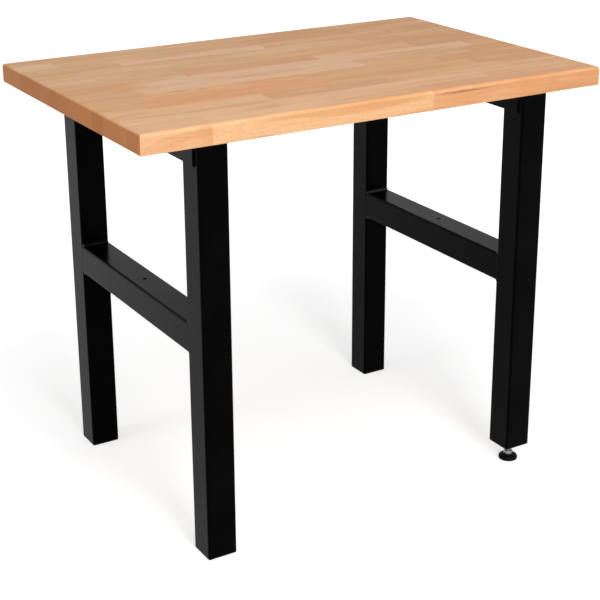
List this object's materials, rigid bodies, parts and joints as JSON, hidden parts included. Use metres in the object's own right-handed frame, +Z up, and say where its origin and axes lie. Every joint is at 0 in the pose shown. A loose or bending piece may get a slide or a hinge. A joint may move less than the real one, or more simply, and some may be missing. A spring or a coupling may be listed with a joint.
{
  "type": "workbench",
  "caption": "Workbench with a glued beech top on black steel tube frames and an adjustable levelling foot.",
  "frame": {"origin": "on the floor, under the middle of the top", "axes": "+X to the right along the bench, +Y from the front edge to the back edge, +Z up"},
  "size_m": [1, 0.65, 0.85],
  "materials": {
    "beech": "oiled, satin",
    "powder_coat": "black powder coat, satin",
    "plastic": "moulded, fine matt grain",
    "zinc": "bright zinc plate"
  },
  "bodies": {
    "bench": {"stave_01": "beech", "stave_02": "beech", "stave_03": "beech", "stave_04": "beech", "stave_05": "beech", "stave_06": "beech", "stave_07": "beech", "stave_08": "beech", "stave_09": "beech", "stave_10": "beech", "stave_11": "beech", "stave_12": "beech", "stave_13": "beech", "left_front_leg": "powder_coat", "left_back_leg": "powder_coat", "right_front_leg": "powder_coat", "right_back_leg": "powder_coat", "left_crossbar": "powder_coat", "left_top_channel": "powder_coat", "right_crossbar": "powder_coat", "right_top_channel": "powder_coat", "left_front_leg_cap": "plastic", "left_back_leg_cap": "plastic", "right_back_leg_cap": "plastic", "foot_socket": "plastic", "left_top_screw_front": "zinc", "left_top_screw_middle": "zinc", "left_top_screw_back": "zinc", "left_washer_front": "zinc", "left_washer_middle": "zinc", "left_washer_back": "zinc", "right_top_screw_front": "zinc", "right_top_screw_middle": "zinc", "right_top_screw_back": "zinc", "right_washer_front": "zinc", "right_washer_middle": "zinc", "right_washer_back": "zinc", "foot_bush": "zinc"},
    "pad": {"foot_pad": "plastic"},
    "stem": {"foot_stem": "zinc"},
    "lock_nut": {"foot_lock_nut": "zinc"}
  },
  "joints": [
    {"name": "foot_height", "type": "slide", "parent": "bench", "child": "pad", "axis": [0, 0, 1], "range_m": [-0.015, 0.007]},
    {"name": "stem_turn", "type": "hinge", "parent": "pad", "child": "stem", "pos_m": [0.355, -0.273, 0], "axis": [0, 0, 1], "range_deg": [-3605, 1685]},
    {"name": "lock_nut_travel", "type": "slide", "parent": "bench", "child": "lock_nut", "axis": [0, 0, -1], "range_m": [0, 0.004]}
  ],
  "couplings": [
    {"joint": "stem_turn", "follows": "foot_height", "rad_per_m": 4188.8}
  ]
}
